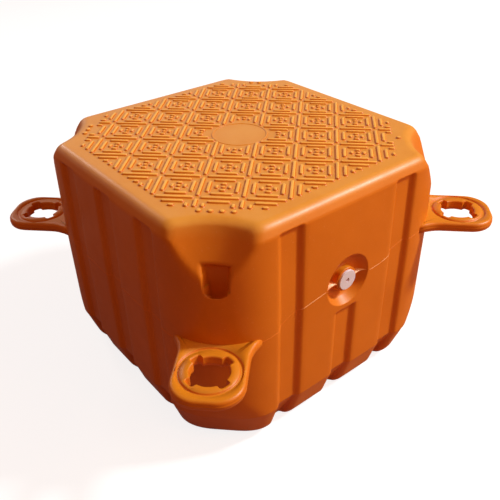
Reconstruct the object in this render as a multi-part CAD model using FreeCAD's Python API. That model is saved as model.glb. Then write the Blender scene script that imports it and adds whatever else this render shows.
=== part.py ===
import FreeCAD
import Part
import math
import os

# Floating dock cube: a hollow blow-moulded float with four link lugs, and its vent plug.
# Millimetres. The origin is the centre of the base, +Z is up and the vent faces -Y.

Vector = FreeCAD.Vector
UP = Vector(0, 0, 1)

# Float: outer form
HEIGHT = 387.0
PARTING_HEIGHT = 240.0
PARTING_WIDTH = 496.0
SKIRT_HEIGHT = 65.0
SKIRT_LEAN = 21.0
LOWER_DRAFT = 1.0
UPPER_DRAFT = 2.5
CORNER_RADIUS = 110.0
DECK_ROUND = 22.0
BASE_ROUND = 24.0
WALL = 5.0
LEAST_ROUND = 1.0
FOOT_REACH = 267.5
FOOT_TOP = 85.0

# Side grooves, three to a side
GROOVE_PITCH = 110.0
GROOVE_WIDTH = 42.0
GROOVE_DEPTH = 11.0
GROOVE_FOOT_DEPTH = 18.0
GROOVE_TOP = 371.0
GROOVE_DRAFT = 1.5
GROOVE_LIP = 4.0
GROOVE_ROOT = 4.0
VENT_GROOVE_TOP = 188.0

# Scoop and pocket at each upper corner
SCOOP_RADIUS = 125.0
SCOOP_TILT = 31.4
SCOOP_DEPTH = 40.0
SCOOP_ROUND = 12.0
POCKET_WIDTH = 32.0
POCKET_BOTTOM = 290.0
POCKET_TOP = 335.0
POCKET_DEPTH = 22.0
POCKET_ROUND = 15.0

# Link lugs, one on each corner, a thickness higher at each step round the float
HOLE_PITCH = 500.0
LUG_THICKNESS = 16.0
LOWEST_LUG_TOP = 219.0
LUG_HALF_WIDTH = 49.0
LUG_TIP_REACH = 53.5
LUG_TIP_ROUND = 38.0
LUG_WEB_RADIUS = 60.0
LUG_EDGE_ROUND = 5.0
LUG_BURY = 1.0
HOLE_RADIUS = 26.0
NOTCH_REACH = 33.0
NOTCH_WIDTH = 15.0
NOTCH_ROUND = 4.0
LUG_RING_RADIUS = 41.0
LUG_RING_WIDTH = 5.0
LUG_RING_DEPTH = 2.2

# Vent recess, boss and plug on the -Y side
VENT_RADIUS = 42.0
VENT_FLOOR_RADIUS = 31.0
VENT_DEPTH = 15.0
VENT_ROUND = 10.0
BOSS_RADIUS = 19.5
BOSS_ROOT = 4.0
BOSS_SET_BACK = 4.0
PLUG_BORE = 20.0
PLUG_CLEARANCE = 0.15
PLUG_FLANGE_RADIUS = 16.0
PLUG_FLANGE_THICKNESS = 3.0
PLUG_STEM_LENGTH = 16.0
PLUG_SOCKET = 6.5
PLUG_SOCKET_DEPTH = 9.0
PLUG_ROUND = 0.8

# Tread on the deck
TILE = 42.9
TILES_PER_SIDE = 10
BAR_WIDTH = 4.8
BAR_HEIGHT = 2.5
BAR_END_GAP = 4.9
BARS_EACH_SIDE = 2
TREAD_CORNER_REACH = 237.0
LAST_STUB_REACH = 230.0
DOT_RADIUS = 2.6
CORNER_DOT_RADIUS = 3.3
CORNER_DOT_REACH = 246.0
CORNER_DOT_PITCH = 15.0
DISC_RING_RADIUS = 43.0
DISC_RING_WIDTH = 3.0
DISC_RING_HEIGHT = 1.2

# How far a cutter runs past what it cuts, and how far an added piece is let in
OVERRUN = 3.0
LET_IN = 1.0
LIP_STANDOFF = 0.1

CORNER_AXIS = PARTING_WIDTH / 2 - CORNER_RADIUS
CORNER_REACH = CORNER_AXIS * math.sqrt(2)
CORNER_ANGLES = (225, 135, 45, -45)
VENT_FACE = PARTING_WIDTH / 2
EYE_REACH = HOLE_PITCH / math.sqrt(2)


def outline(corners, place):
    """Closed wire through corners (a, b, rounding), set in space by place(a, b)."""
    flat = [Vector(a, b, 0) for a, b, _ in corners]
    entries = []
    middles = []
    exits = []
    for index, (_, _, rounding) in enumerate(corners):
        here = flat[index]
        back = (flat[index - 1] - here).normalize()
        ahead = (flat[(index + 1) % len(flat)] - here).normalize()
        half_angle = back.getAngle(ahead) / 2
        setback = rounding / math.tan(half_angle)
        entries.append(here + back * setback)
        exits.append(here + ahead * setback)
        if rounding > 0:
            bisector = (back + ahead).normalize()
            middles.append(here + bisector * (rounding / math.sin(half_angle) - rounding))
        else:
            middles.append(None)
    edges = []
    for index, middle in enumerate(middles):
        entry = place(entries[index].x, entries[index].y)
        leave = place(exits[index].x, exits[index].y)
        if middle is not None:
            edges.append(Part.Arc(entry, place(middle.x, middle.y), leave).toShape())
        after = entries[(index + 1) % len(entries)]
        arrive = place(after.x, after.y)
        if (arrive - leave).Length > 1e-6:
            edges.append(Part.LineSegment(leave, arrive).toShape())
    return Part.Wire(edges)


def turned(shape, angle, about=UP):
    """Copy of a shape, turned about an axis through the origin."""
    copy = shape.copy()
    copy.rotate(Vector(0, 0, 0), about, angle)
    return copy


def half_width(z):
    """Distance from the centre to a side of the float at height z."""
    half = PARTING_WIDTH / 2
    if z > PARTING_HEIGHT:
        return half - UPPER_DRAFT * (z - PARTING_HEIGHT) / (HEIGHT - PARTING_HEIGHT)
    if z > SKIRT_HEIGHT:
        return half - LOWER_DRAFT * (PARTING_HEIGHT - z) / (PARTING_HEIGHT - SKIRT_HEIGHT)
    return half - LOWER_DRAFT - SKIRT_LEAN * (SKIRT_HEIGHT - z) / SKIRT_HEIGHT


def moulding(inset):
    """Solid with the float's wall section run round its rounded square, inset on all sides."""
    bottom = inset
    top = HEIGHT - inset

    def corner(z, rounding=0.0):
        return (half_width(z) - inset - CORNER_AXIS, z, rounding)

    section = [
        (0, bottom, 0),
        corner(bottom, max(BASE_ROUND - inset, LEAST_ROUND)),
        corner(SKIRT_HEIGHT),
        corner(PARTING_HEIGHT),
        corner(top, max(DECK_ROUND - inset, LEAST_ROUND)),
        (0, top, 0),
    ]
    face = Part.Face(outline(section, lambda r, z: Vector(r, 0, z)))
    round_corner = face.revolve(Vector(0, 0, 0), UP, 90)
    side = face.extrude(Vector(0, -2 * CORNER_AXIS, 0))
    quarter = [round_corner, side]
    for piece in quarter:
        piece.translate(Vector(CORNER_AXIS, CORNER_AXIS, 0))
    pieces = [turned(piece, 90 * turn) for turn in range(4) for piece in quarter]
    middle = Part.makeBox(
        2 * CORNER_AXIS, 2 * CORNER_AXIS, top - bottom, Vector(-CORNER_AXIS, -CORNER_AXIS, bottom)
    )
    solid = middle.multiFuse(pieces).removeSplitter()
    for angle in (45, -45):
        solid = solid.common(turned(foot_limit(inset), angle))
    return solid


def foot_limit(inset):
    """Prism along Y whose ends along X cut the base's corners back to a leaning face."""
    corner_at_foot_top = CORNER_REACH + half_width(FOOT_TOP) - CORNER_AXIS
    lean = (corner_at_foot_top - FOOT_REACH) / FOOT_TOP
    bottom = inset
    top = HEIGHT + OVERRUN
    low = FOOT_REACH - inset
    high = low + lean * (top - bottom)
    rounding = max(BASE_ROUND - inset, LEAST_ROUND)
    corners = [(-low, bottom, rounding), (low, bottom, rounding), (high, top, 0), (-high, top, 0)]
    face = Part.Face(outline(corners, lambda s, z: Vector(s, -PARTING_WIDTH, z)))
    return face.extrude(Vector(0, 2 * PARTING_WIDTH, 0))


def groove(offset, top, grow=0.0):
    """Cutters for one groove of the +X side, which follow the side's lean and deepen at the foot."""
    mouth = GROOVE_WIDTH / 2 + grow
    floor = mouth - GROOVE_DRAFT
    lip = GROOVE_LIP if grow == 0 else 0.0
    outer = mouth + lip + LIP_STANDOFF

    def section(z, depth):
        corners = [
            (OVERRUN, -outer, 0),
            (LIP_STANDOFF, -outer, 0),
            (LIP_STANDOFF, -mouth, lip),
            (-depth, -floor, GROOVE_ROOT),
            (-depth, floor, GROOVE_ROOT),
            (LIP_STANDOFF, mouth, lip),
            (LIP_STANDOFF, outer, 0),
            (OVERRUN, outer, 0),
        ]
        return outline(corners, lambda d, u: Vector(half_width(z) + d, offset + u, z))

    end = top + grow
    depth = GROOVE_DEPTH + grow
    foot = section(-OVERRUN, GROOVE_FOOT_DEPTH + grow)
    cutters = [Part.makeLoft([foot, section(SKIRT_HEIGHT, depth)], True, True)]
    levels = [z for z in (SKIRT_HEIGHT, PARTING_HEIGHT) if z < end] + [end]
    for low, high in zip(levels, levels[1:]):
        rise = Vector(half_width(high) - half_width(low), 0, high - low)
        cutters.append(Part.Face(section(low, depth)).extrude(rise))
    return cutters


def grooves(grow=0.0):
    """Cutters for all the side grooves; the one under the vent is short."""
    cutters = []
    for side in range(4):
        under_vent = side == 3
        for step in (-1, 0, 1):
            top = VENT_GROOVE_TOP if under_vent and step == 0 else GROOVE_TOP
            for cutter in groove(step * GROOVE_PITCH, top, grow):
                cutters.append(turned(cutter, 90 * side))
    return cutters


def scoops(grow=0.0):
    """Cutters for the leaning round hollows in the upper corners."""
    tilt = math.radians(SCOOP_TILT)
    lean = Vector(math.sin(tilt), 0, -math.cos(tilt))
    deck_corner = CORNER_REACH + half_width(HEIGHT) - CORNER_AXIS
    axis_reach = deck_corner - SCOOP_DEPTH + SCOOP_RADIUS / math.cos(tilt)
    start = Vector(axis_reach, 0, HEIGHT) - lean * (2 * SCOOP_RADIUS)
    cutter = Part.makeCylinder(SCOOP_RADIUS + grow, HEIGHT + 2 * SCOOP_RADIUS, start, lean)
    cutter.rotate(start, lean, 180)
    return [turned(cutter, angle) for angle in CORNER_ANGLES]


def scooped(solid):
    """The solid with its upper corners scooped out and the scoops' edges rounded."""
    solid = solid.cut(scoops())
    edges = [edge for face in solid.Faces if is_scoop(face) for edge in face.Edges]
    return solid.makeFillet(SCOOP_ROUND, edges)


def is_scoop(face):
    """Whether a face is the wall of a scoop."""
    surface = face.Surface
    return surface.TypeId == "Part::GeomCylinder" and abs(surface.Radius - SCOOP_RADIUS) < 1e-6


def pockets(grow=0.0):
    """Cutters for the slot below each scoop."""
    half = POCKET_WIDTH / 2 + grow
    bottom = POCKET_BOTTOM - grow
    top = POCKET_TOP + grow
    back = CORNER_REACH + CORNER_RADIUS - POCKET_DEPTH - grow
    corners = [
        (-half, bottom, POCKET_ROUND),
        (half, bottom, POCKET_ROUND),
        (half, top, 0),
        (-half, top, 0),
    ]
    face = Part.Face(outline(corners, lambda t, z: Vector(back, t, z)))
    cutter = face.extrude(Vector(POCKET_DEPTH + grow + OVERRUN, 0, 0))
    return [turned(cutter, angle) for angle in CORNER_ANGLES]


def facing_vent(corners):
    """Solid turned about the vent's axis; corners are (radius, depth from the face, rounding)."""
    wire = outline(corners, lambda r, depth: Vector(r, depth - VENT_FACE, PARTING_HEIGHT))
    return Part.Face(wire).revolve(Vector(0, 0, PARTING_HEIGHT), Vector(0, 1, 0), 360)


def vent_recess():
    """Cutter for the dished recess that leaves the boss standing."""
    return facing_vent([
        (0, -OVERRUN, 0),
        (VENT_RADIUS, -OVERRUN, 0),
        (VENT_RADIUS, 0, 0),
        (VENT_FLOOR_RADIUS, VENT_DEPTH, VENT_ROUND),
        (BOSS_RADIUS, VENT_DEPTH, BOSS_ROOT),
        (BOSS_RADIUS, BOSS_SET_BACK, 0),
        (0, BOSS_SET_BACK, 0),
    ])


def vent_backing():
    """What the cavity leaves behind the recess and the boss."""
    return facing_vent([
        (0, -OVERRUN, 0),
        (VENT_RADIUS + WALL, -OVERRUN, 0),
        (VENT_RADIUS + WALL, 0, 0),
        (VENT_FLOOR_RADIUS + WALL, VENT_DEPTH + WALL, 0),
        (0, VENT_DEPTH + WALL, 0),
    ])


def plug_bore():
    """Cutter for the bore through the boss into the cavity."""
    depth = VENT_DEPTH + WALL + OVERRUN
    return facing_vent([
        (0, 0, 0),
        (PLUG_BORE / 2, 0, 0),
        (PLUG_BORE / 2, depth, 0),
        (0, depth, 0),
    ])


def vent_plug():
    """Plug whose flange sits on the boss and whose stem fills the bore."""
    stem = PLUG_BORE / 2 - PLUG_CLEARANCE
    socket = PLUG_SOCKET / 2
    outside = BOSS_SET_BACK - PLUG_FLANGE_THICKNESS
    return facing_vent([
        (0, outside + PLUG_SOCKET_DEPTH, 0),
        (socket, outside + PLUG_SOCKET_DEPTH, 0),
        (socket, outside, 0),
        (PLUG_FLANGE_RADIUS, outside, PLUG_ROUND),
        (PLUG_FLANGE_RADIUS, BOSS_SET_BACK, 0),
        (stem, BOSS_SET_BACK, 0),
        (stem, BOSS_SET_BACK + PLUG_STEM_LENGTH, PLUG_ROUND),
        (0, BOSS_SET_BACK + PLUG_STEM_LENGTH, 0),
    ])


def lug_plate():
    """Lug pointing along +X, its top at z = 0: a rounded end, two flanks and webs to the corner."""
    tip = EYE_REACH + LUG_TIP_REACH
    web_side = LUG_HALF_WIDTH + LUG_WEB_RADIUS
    met_radius = CORNER_RADIUS - LUG_BURY
    web_reach = CORNER_REACH + math.sqrt((met_radius + LUG_WEB_RADIUS) ** 2 - web_side ** 2)
    share = met_radius / (met_radius + LUG_WEB_RADIUS)
    foot = Vector(CORNER_REACH + (web_reach - CORNER_REACH) * share, web_side * share, 0)
    flank_end = Vector(web_reach, LUG_HALF_WIDTH, 0)
    web_centre = Vector(web_reach, web_side, 0)
    towards_web = (flank_end + foot) * 0.5 - web_centre
    web_middle = web_centre + towards_web.normalize() * LUG_WEB_RADIUS
    round_centre = Vector(tip - LUG_TIP_ROUND, LUG_HALF_WIDTH - LUG_TIP_ROUND, 0)
    half_way = LUG_TIP_ROUND / math.sqrt(2)
    side = [
        round_centre + Vector(LUG_TIP_ROUND, 0, 0),
        round_centre + Vector(half_way, half_way, 0),
        round_centre + Vector(0, LUG_TIP_ROUND, 0),
        flank_end,
        web_middle,
        foot,
    ]
    other = [Vector(point.x, -point.y, 0) for point in side]
    wire = Part.Wire([
        Part.LineSegment(other[0], side[0]).toShape(),
        Part.Arc(*side[0:3]).toShape(),
        Part.LineSegment(side[2], side[3]).toShape(),
        Part.Arc(*side[3:6]).toShape(),
        Part.LineSegment(side[5], other[5]).toShape(),
        Part.Arc(other[5], other[4], other[3]).toShape(),
        Part.LineSegment(other[3], other[2]).toShape(),
        Part.Arc(other[2], other[1], other[0]).toShape(),
    ])
    plate = Part.Face(wire).extrude(Vector(0, 0, -LUG_THICKNESS))
    rim = [edge for edge in plate.Edges if is_level(edge) and not inside_corner(edge, foot.x)]
    return plate.makeFillet(LUG_EDGE_ROUND, rim)


def is_level(edge):
    """Whether an edge lies at one height."""
    return edge.BoundBox.ZLength < 1e-6


def inside_corner(edge, reach):
    """Whether an edge is the plate's straight end inside the float's corner."""
    return edge.BoundBox.XMax < reach + 1e-6


def lug_hole():
    """Cutter for the eye's hole: round, with four notches along the float's sides."""
    depth = LUG_THICKNESS + 2 * OVERRUN
    hole = Part.makeCylinder(HOLE_RADIUS, depth, Vector(0, 0, -LUG_THICKNESS - OVERRUN))
    half = NOTCH_WIDTH / 2
    corners = [
        (-NOTCH_REACH, -half, NOTCH_ROUND),
        (NOTCH_REACH, -half, NOTCH_ROUND),
        (NOTCH_REACH, half, NOTCH_ROUND),
        (-NOTCH_REACH, half, NOTCH_ROUND),
    ]
    slot = Part.Face(outline(corners, lambda a, b: Vector(a, b, -LUG_THICKNESS - OVERRUN)))
    slot = slot.extrude(Vector(0, 0, depth))
    hole = hole.multiFuse([turned(slot, 45), turned(slot, 135)])
    hole.translate(Vector(EYE_REACH, 0, 0))
    return hole


def lug_ring():
    """Cutter for the V-shaped ring groove in the lug's top, round the hole."""
    half = LUG_RING_WIDTH / 2
    over = half * (LUG_RING_DEPTH + OVERRUN) / LUG_RING_DEPTH
    corners = [
        (LUG_RING_RADIUS, -LUG_RING_DEPTH, 0),
        (LUG_RING_RADIUS + over, OVERRUN, 0),
        (LUG_RING_RADIUS - over, OVERRUN, 0),
    ]
    face = Part.Face(outline(corners, lambda r, z: Vector(r, 0, z)))
    ring = face.revolve(Vector(0, 0, 0), UP, 360)
    ring.translate(Vector(EYE_REACH, 0, 0))
    return ring


def lugs():
    """The four lugs, stepping up round the float."""
    lug = lug_plate().cut([lug_hole(), lug_ring()])
    placed = []
    for step, angle in enumerate(CORNER_ANGLES):
        copy = turned(lug, angle)
        copy.translate(Vector(0, 0, LOWEST_LUG_TOP + step * LUG_THICKNESS))
        placed.append(copy)
    return placed


def bar(x, y, length, angle):
    """One tread bar, let into the deck."""
    block = Part.makeBox(
        length, BAR_WIDTH, BAR_HEIGHT + LET_IN, Vector(-length / 2, -BAR_WIDTH / 2, HEIGHT - LET_IN)
    )
    block = turned(block, angle)
    block.translate(Vector(x, y, 0))
    return block


def dot(x, y, radius):
    """One round tread dot, let into the deck."""
    return Part.makeCylinder(radius, BAR_HEIGHT + LET_IN, Vector(x, y, HEIGHT - LET_IN))


def reach_to_corner(x, y):
    """How far a point lies out along the diagonal to its own corner of the deck."""
    return (abs(x) + abs(y)) / math.sqrt(2)


def clear_of_corner(x, y, length, angle):
    """A bar's place and length, cut short at the corner of the deck, or None if nothing stays."""
    points_outwards = x * y * math.sin(math.radians(2 * angle)) > 0
    on_diagonal = abs(abs(x) - abs(y)) < BAR_WIDTH
    if on_diagonal and length < TILE / 2 and reach_to_corner(x, y) > LAST_STUB_REACH:
        return None
    span = length if points_outwards else BAR_WIDTH
    excess = max(reach_to_corner(x, y) + span / 2 - TREAD_CORNER_REACH, 0)
    if excess == 0:
        return x, y, length, angle
    if not points_outwards or length - excess < BAR_WIDTH:
        return None
    shift = excess / 2 / math.sqrt(2)
    return x - math.copysign(shift, x), y - math.copysign(shift, y), length - excess, angle


def tile_bars(column, row):
    """Bars of one tile, along one diagonal or the other like a chequerboard."""
    first = -TILE * (TILES_PER_SIDE - 1) / 2
    x = first + TILE * column
    y = first + TILE * row
    angle = -45 if (column + row) % 2 == 0 else 45
    across = math.radians(angle + 90)
    pitch = TILE / 4
    bars = []
    for step in range(-BARS_EACH_SIDE, BARS_EACH_SIDE + 1):
        length = TILE * math.sqrt(2) - 2 * abs(step) * pitch - 2 * BAR_END_GAP
        centre_x = x + step * pitch * math.cos(across)
        centre_y = y + step * pitch * math.sin(across)
        bars.append(clear_of_corner(centre_x, centre_y, length, angle))
    return [bar(*place) for place in bars if place is not None]


def crossing_dots():
    """Dots where four stubs meet: every second crossing of the tiles."""
    middle = TILES_PER_SIDE // 2
    dots = []
    for a in range(1, TILES_PER_SIDE):
        for b in range(1, TILES_PER_SIDE):
            x = TILE * (a - middle)
            y = TILE * (b - middle)
            in_corner = reach_to_corner(x, y) + DOT_RADIUS > TREAD_CORNER_REACH
            if (a + b) % 2 == 0 and (a, b) != (middle, middle) and not in_corner:
                dots.append(dot(x, y, DOT_RADIUS))
    return dots


def corner_dots():
    """Rows of dots that number the corners: four at the lowest lug, down to one at the highest."""
    dots = []
    for step, angle in enumerate(CORNER_ANGLES):
        count = len(CORNER_ANGLES) - step
        for k in range(count):
            place = (k - (count - 1) / 2) * CORNER_DOT_PITCH
            dots.append(turned(dot(CORNER_DOT_REACH, place, CORNER_DOT_RADIUS), angle))
    return dots


def tread():
    """Bars and dots of the tread, round the bare disc in the middle of the deck."""
    middle = (TILES_PER_SIDE // 2 - 1, TILES_PER_SIDE // 2)
    pieces = crossing_dots() + corner_dots()
    for column in range(TILES_PER_SIDE):
        for row in range(TILES_PER_SIDE):
            if not (column in middle and row in middle):
                pieces += tile_bars(column, row)
    return pieces


def disc_ring():
    """Raised ring round the bare disc."""
    outer = Part.makeCylinder(
        DISC_RING_RADIUS + DISC_RING_WIDTH / 2, DISC_RING_HEIGHT + LET_IN, Vector(0, 0, HEIGHT - LET_IN)
    )
    inner = Part.makeCylinder(
        DISC_RING_RADIUS - DISC_RING_WIDTH / 2, DISC_RING_HEIGHT + LET_IN, Vector(0, 0, HEIGHT - LET_IN)
    )
    return outer.cut(inner)


def float_body():
    """The hollow float, in one piece with its lugs, boss and tread."""
    solid = scooped(moulding(0.0))
    solid = solid.cut(grooves() + pockets())
    solid = solid.multiFuse(lugs())
    solid = solid.cut(vent_recess())
    cavity = moulding(WALL).cut(scoops(WALL) + grooves(WALL) + pockets(WALL) + [vent_backing()])
    solid = solid.cut([cavity, plug_bore()])
    solid = solid.multiFuse(tread() + [disc_ring()])
    return solid.removeSplitter()


os.makedirs("parts", exist_ok=True)
float_body().exportStep("parts/float_body.step")
vent_plug().exportStep("parts/vent_plug.step")
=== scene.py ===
import bpy
import math
import numpy as np
from mathutils import Euler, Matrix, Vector


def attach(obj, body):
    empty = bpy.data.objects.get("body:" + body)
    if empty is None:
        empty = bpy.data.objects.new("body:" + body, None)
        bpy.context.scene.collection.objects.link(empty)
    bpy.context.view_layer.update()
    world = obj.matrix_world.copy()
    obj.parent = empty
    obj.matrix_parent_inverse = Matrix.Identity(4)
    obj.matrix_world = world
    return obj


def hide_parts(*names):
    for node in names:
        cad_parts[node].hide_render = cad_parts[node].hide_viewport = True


# Floating dock cube. The pieces are worked out in millimetres, in the CAD's frame,
# and turned into metres when their meshes are made.

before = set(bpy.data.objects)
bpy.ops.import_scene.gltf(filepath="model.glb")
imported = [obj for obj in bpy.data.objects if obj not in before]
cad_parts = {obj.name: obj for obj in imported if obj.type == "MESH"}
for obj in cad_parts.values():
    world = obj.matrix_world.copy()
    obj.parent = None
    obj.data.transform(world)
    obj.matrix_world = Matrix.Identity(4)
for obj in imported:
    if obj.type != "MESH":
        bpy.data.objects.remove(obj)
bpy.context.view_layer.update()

# The CAD's own values
HEIGHT = 387.0
PARTING_HEIGHT = 240.0
PARTING_WIDTH = 496.0
SKIRT_HEIGHT = 65.0
SKIRT_LEAN = 21.0
LOWER_DRAFT = 1.0
UPPER_DRAFT = 2.5
CORNER_RADIUS = 110.0
BASE_ROUND = 24.0
FOOT_REACH = 267.5
FOOT_TOP = 85.0
GROOVE_PITCH = 110.0
GROOVE_WIDTH = 42.0
GROOVE_FOOT_DEPTH = 18.0
GROOVE_LIP = 4.0
VENT_GROOVE_TOP = 188.0
SCOOP_RADIUS = 125.0
SCOOP_TILT = math.radians(31.4)
SCOOP_DEPTH = 40.0
POCKET_TOP = 335.0
POCKET_DEPTH = 22.0
HOLE_PITCH = 500.0
LUG_THICKNESS = 16.0
LOWEST_LUG_TOP = 219.0
LUG_HALF_WIDTH = 49.0
LUG_TIP_REACH = 53.5
LUG_TIP_ROUND = 38.0
LUG_WEB_RADIUS = 60.0
LUG_EDGE_ROUND = 5.0
LUG_BURY = 1.0
HOLE_RADIUS = 26.0
NOTCH_REACH = 33.0
NOTCH_WIDTH = 15.0
NOTCH_ROUND = 4.0
LUG_RING_RADIUS = 41.0
LUG_RING_WIDTH = 5.0
LUG_RING_DEPTH = 2.2
VENT_RADIUS = 42.0
VENT_FLOOR_RADIUS = 31.0
VENT_DEPTH = 15.0
VENT_ROUND = 10.0
BOSS_RADIUS = 19.5
BOSS_ROOT = 4.0
BOSS_SET_BACK = 4.0
PLUG_BORE = 20.0
TILE = 42.9
TILES_PER_SIDE = 10
BAR_WIDTH = 4.8
BAR_END_GAP = 4.9
BARS_EACH_SIDE = 2
TREAD_CORNER_REACH = 237.0
LAST_STUB_REACH = 230.0
DOT_RADIUS = 2.6
CORNER_DOT_RADIUS = 3.3
CORNER_DOT_REACH = 246.0
CORNER_DOT_PITCH = 15.0
DISC_RING_RADIUS = 43.0
DISC_RING_WIDTH = 3.0

CORNER_AXIS = PARTING_WIDTH / 2 - CORNER_RADIUS
CORNER_REACH = CORNER_AXIS * math.sqrt(2)
EYE_REACH = HOLE_PITCH / math.sqrt(2)
CORNER_ANGLES = (225, 135, 45, -45)
NOTCH_ANGLES = (45, 135, 225, 315)

# The deck's rim, which the CAD has as one large rounding
RIM_ROUND = 9.0
BEVEL_FOOT = 368.0
BEVEL_TILT = math.radians(25)
BEVEL_CREASE = 1.2
RIM_DROP = 1.4
RIM_WIDTH = 60.0
RIM_OVERRUN = 12.0

# Grooves, shallower than in the CAD and with slanted walls
GROOVE_DEPTH = 6.5
GROOVE_TOP = 367.0
GROOVE_WALL_SLOPE = 0.85
GROOVE_DRAFT = 0.14
GROOVE_ROOT = 2.5
GROOVE_END_ROUND = 2.5

# Pockets, wider at the top than at the bottom, with floors that fall inwards
POCKET_BOTTOM = 295.2
POCKET_BOTTOM_WIDTH = 28.0
POCKET_TOP_WIDTH = 33.0
POCKET_ROUND = 13.0
POCKET_LIP = 7.5
POCKET_LOW_LIP = 1.5
POCKET_ROOT = 5.0
POCKET_ASIDE = -4.5
POCKET_FLOOR_FALL = 1.0

# Softness of edges that the CAD leaves sharper
FOOT_ROUND = 14.0
SKIRT_STEP = 0.9
SKIRT_CREASE = 1.0
SCOOP_SIDE_ROUND = 4.0
SCOOP_TOP_ROUND = 9.0
DECK_LAYER = 25.0
HOLE_EDGE = 2.5
LUG_RING_SOFTNESS = 0.3
VENT_EDGE = 2.0
BOSS_EDGE = 1.6

# Tread, raised a little less than in the CAD, with its foot below the deck's surface
BAR_HEIGHT = 2.3
BAR_EDGE = 1.1
TREAD_BURY = 0.3
DISC_RING_HEIGHT = 0.7
DISC_RING_FLARE = 0.6
DISC_RING_FOOT = 0.4
DISC_RING_EDGE = 0.5

# Flash: a seam round the float and its lugs, and webs across the vent
SEAM_HEIGHT = 0.4
SEAM_HALF_WIDTH = 0.7
SEAM_TOP_HALF = 0.2
SEAM_BURY = 0.15
HOLE_SEAM_DROP = 3.0
WEB_HALF = 0.7
WEB_SAG = 4.0
WEB_BURY = 1.0

# The seam's course along a side: places, and how far it has risen there out of its last value
SEAM_PLACES = (-165, -130, -100, -84, -45, 44, 66, 82, 90, 121, 165)
SEAM_RISES = (0, 5, 18, 23, 29, 27, 28.5, 32, 35.5, 44, 48)

# Rays that find a surface: where they start and end, and how finely they are halved
FAN = 66.0
RAY_LENGTH = 112.0
LUG_RAY_LENGTH = 120.0
SIDE_RAY_START = 180.0
SIDE_RAY_END = 260.0
HALVINGS = 22
FINE_HALVINGS = 28

# Fineness of the meshes: gaps in millimetres, marks as (place, gap) and turns in degrees
PATCH_HALF = 47.0
PATCH_MARGIN = 0.01
VENT_MARGIN = 3.0
GROOVE_EDGE_IN = 9.0
GROOVE_EDGE_OUT = 3.0
EDGE_GAP = 1.0
CORNER_GAP = 3.0
FLOOR_GAP = 6.0
RIB_GAP = 8.0
SKIRT_ROWS = (70.0, 7.0)
VENT_GROOVE_ROWS = (180.0, 1.0)
PATCH_ROW_GAP = 7.0
POCKET_ROW_GAP = 1.5
SCOOP_ROWS = (302.0, 4.0)
BASE_TILTS = ((-90, 5), (-70, 3), (0, 1))
DECK_TILTS = ((0, 2), (30, 0.5), (40, 1.2), (66, 2.5), (90, 1))
CORNER_TURNS = ((0, 3), (30, 0.8), (39, 2), (51, 0.8), (60, 3), (90, 1))
NOTCH_OUTER_TURN = 19
NOTCH_INNER_TURN = 8
NOTCH_FLANK_GAP = 0.7
NOTCH_END_GAP = 4
ROUND_STEPS = 6
DISC_RING_STEPS = 96
SEAM_POINTS = 400
WEB_STEPS = 12

# Colours
ORANGE = (0.69, 0.187, 0.006)
CLOUDED_ORANGE = (0.74, 0.210, 0.009)
# Painted light: a paler, yellower orange where surfaces face up.
LIT_UPWARD_ORANGE = (0.71, 0.255, 0.011)
# Painted sheen: a paler orange on the deck and the rounding of its rim, in uneven patches.
DECK_SHEEN_ORANGE = (0.80, 0.38, 0.056)
# Painted light: a pale orange on the tops of the bars.
LIT_BAR_TOP_ORANGE = (0.95, 0.52, 0.085)
# Painted shade: a deeper, darker orange on the steep sides of the bars.
SHADED_BAR_SIDE_ORANGE = (0.64, 0.16, 0.003)
PALE_SPECK = (0.86, 0.36, 0.12)
FLASH_ORANGE = (0.76, 0.20, 0.008)
PALE_FLASH = (0.93, 0.50, 0.22)
PLUG_WHITE = (0.82, 0.84, 0.98)
PLUG_SOIL = (0.74, 0.66, 0.66)
WHITE = (1.0, 1.0, 1.0)
FLOOR_GREY = (0.32, 0.32, 0.32)
FLOOR_WARMTH = (0.32, 0.13, 0.06)
WORLD_WARMTH = (1.0, 0.30, 0.12)
TOP_TINT = (1.0, 0.62, 0.35)
FRONT_TINT = (1.0, 0.60, 0.32)

# Levels between which a look sets in, in metres: heights for the painted sheen on the deck, the painted
# shade on the bar sides and the painted light on the bar tops, and distances from the vent
DECK_SHEEN_LEVELS = (0.366, 0.380)
BAR_FOOT_LEVELS = (0.3865, 0.3868)
LIT_BAR_TOP_LEVELS = (0.3884, 0.3889)
NEAR_VENT_LEVELS = (0.084, 0.094)

# Studio, with lengths in metres apart from the lens and its sensor
CAMERA_PLACE = (-0.56056, -0.72888, 0.7735)
CAMERA_TURN = (56.616, 0.95, -38.988)
CAMERA_LENS = 44.84
SENSOR_WIDTH = 36.0
LAMP_AIM = (0, 0, 0.2)
WORLD_STRENGTH = 0.2
FLOOR_REACH = 40.0
FLOOR_GLOW = 0.84
FLOOR_IN_GLOSS = 0.07


def mesh_piece(name, points, faces, material):
    """Object from points in millimetres and faces, smooth shaded and riding on the root body."""
    mesh = bpy.data.meshes.new(name)
    scaled = (np.asarray(points, float) / 1000).tolist()
    mesh.from_pydata(scaled, [], faces)
    mesh.validate()
    mesh.update()
    for polygon in mesh.polygons:
        polygon.use_smooth = True
    mesh.materials.append(material)
    piece = bpy.data.objects.new(name, mesh)
    bpy.context.scene.collection.objects.link(piece)
    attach(piece, "root")
    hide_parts("float_body")
    return piece


def soft_min(a, b, blend):
    """The smaller of two values, with the change-over rounded."""
    share = np.clip(0.5 + (b - a) / (2 * blend), 0, 1)
    return b + (a - b) * share - blend * share * (1 - share)


def both(a, b, rounding):
    """Field of what lies in both of two forms, the edge where they meet rounded."""
    outside = np.hypot(np.maximum(a + rounding, 0), np.maximum(b + rounding, 0))
    return np.minimum(-rounding, np.maximum(a, b)) + outside


def rounded_box(a, b):
    """Distance outside a corner whose two sides are at a = 0 and b = 0."""
    return np.hypot(np.maximum(a, 0), np.maximum(b, 0)) + np.minimum(np.maximum(a, b), 0)


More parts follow.
